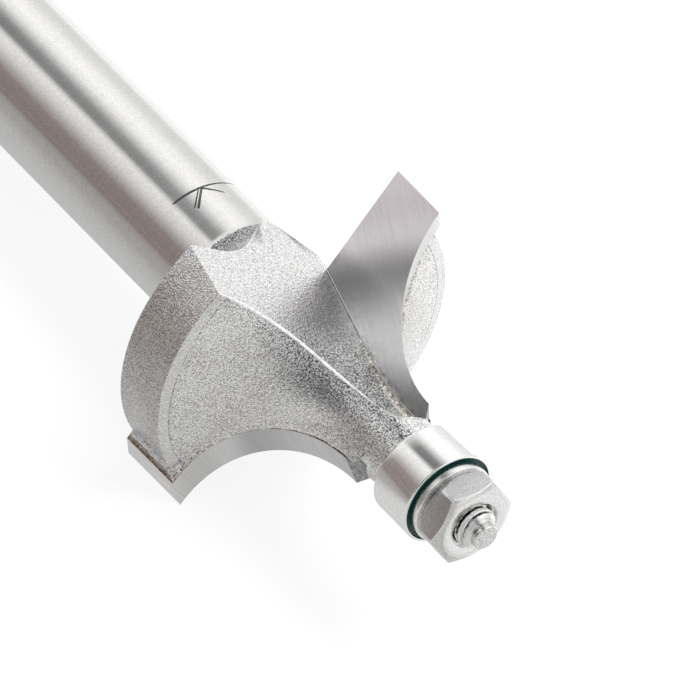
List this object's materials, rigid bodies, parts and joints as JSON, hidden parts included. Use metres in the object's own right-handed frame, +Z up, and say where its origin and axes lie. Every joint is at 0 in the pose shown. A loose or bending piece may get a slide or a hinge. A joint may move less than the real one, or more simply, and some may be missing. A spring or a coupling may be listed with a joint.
{
  "type": "router bit",
  "caption": "Edge-rounding router bit: straight shank, winged head with brazed carbide tips, and a ball-bearing guide held on the nose stud by a washer and nut.",
  "frame": {"origin": "on the surface that the bit lies on, below the middle of its outline", "axes": "+X towards the nose along the bit's axis as seen from above, +Z up, +Y across"},
  "size_m": [0.0488, 0.0158, 0.0125],
  "materials": {
    "body_steel": "bright ground shank, fine blasted head",
    "carbide": "fine ground tungsten carbide",
    "braze": "dull copper-brown braze",
    "bearing_steel": "ground and lapped bearing steel",
    "seal_rubber": "smooth dark green rubber",
    "fastener_steel": "turned stainless steel"
  },
  "bodies": {
    "root": {"cutter_body": "body_steel", "carbide_tip_1": "carbide", "carbide_tip_2": "carbide", "braze_seam_1": "braze", "braze_seam_2": "braze", "bearing_inner_ring": "bearing_steel", "washer": "fastener_steel", "hex_nut": "fastener_steel"},
    "guide_ring": {"bearing_outer_ring": "bearing_steel", "bearing_front_seal": "seal_rubber", "bearing_rear_seal": "seal_rubber"},
    "ball_cage": {"bearing_cage": "bearing_steel"},
    "rolling_ball_1": {"bearing_ball_1": "bearing_steel"},
    "rolling_ball_2": {"bearing_ball_2": "bearing_steel"},
    "rolling_ball_3": {"bearing_ball_3": "bearing_steel"},
    "rolling_ball_4": {"bearing_ball_4": "bearing_steel"},
    "rolling_ball_5": {"bearing_ball_5": "bearing_steel"},
    "rolling_ball_6": {"bearing_ball_6": "bearing_steel"},
    "rolling_ball_7": {"bearing_ball_7": "bearing_steel"}
  },
  "joints": [
    {"name": "guide_ring_spin", "type": "hinge", "parent": "root", "child": "guide_ring", "pos_m": [0.02028, 0, 0.00709], "axis": [0.996, 0, 0.0892], "continuous": true},
    {"name": "ball_cage_spin", "type": "hinge", "parent": "root", "child": "ball_cage", "pos_m": [0.02028, 0, 0.00709], "axis": [0.996, 0, 0.0892], "continuous": true},
    {"name": "ball_1_roll", "type": "hinge", "parent": "ball_cage", "child": "rolling_ball_1", "pos_m": [0.02017, 0.00133, 0.00828], "axis": [0.996, 0, 0.0892], "continuous": true},
    {"name": "ball_2_roll", "type": "hinge", "parent": "ball_cage", "child": "rolling_ball_2", "pos_m": [0.02012, -0.00011, 0.00887], "axis": [0.996, 0, 0.0892], "continuous": true},
    {"name": "ball_3_roll", "type": "hinge", "parent": "ball_cage", "child": "rolling_ball_3", "pos_m": [0.02018, -0.00146, 0.00811], "axis": [0.996, 0, 0.0892], "continuous": true},
    {"name": "ball_4_roll", "type": "hinge", "parent": "ball_cage", "child": "rolling_ball_4", "pos_m": [0.02032, -0.00171, 0.00659], "axis": [0.996, 0, 0.0892], "continuous": true},
    {"name": "ball_5_roll", "type": "hinge", "parent": "ball_cage", "child": "rolling_ball_5", "pos_m": [0.02042, -0.00068, 0.00545], "axis": [0.996, 0, 0.0892], "continuous": true},
    {"name": "ball_6_roll", "type": "hinge", "parent": "ball_cage", "child": "rolling_ball_6", "pos_m": [0.02041, 0.00087, 0.00554], "axis": [0.996, 0, 0.0892], "continuous": true},
    {"name": "ball_7_roll", "type": "hinge", "parent": "ball_cage", "child": "rolling_ball_7", "pos_m": [0.0203, 0.00176, 0.0068], "axis": [0.996, 0, 0.0892], "continuous": true}
  ],
  "couplings": [
    {"joint": "ball_cage_spin", "follows": "guide_ring_spin", "ratio": 0.61111},
    {"joint": "ball_1_roll", "follows": "guide_ring_spin", "ratio": 2.1389},
    {"joint": "ball_2_roll", "follows": "guide_ring_spin", "ratio": 2.1389},
    {"joint": "ball_3_roll", "follows": "guide_ring_spin", "ratio": 2.1389},
    {"joint": "ball_4_roll", "follows": "guide_ring_spin", "ratio": 2.1389},
    {"joint": "ball_5_roll", "follows": "guide_ring_spin", "ratio": 2.1389},
    {"joint": "ball_6_roll", "follows": "guide_ring_spin", "ratio": 2.1389},
    {"joint": "ball_7_roll", "follows": "guide_ring_spin", "ratio": 2.1389}
  ]
}
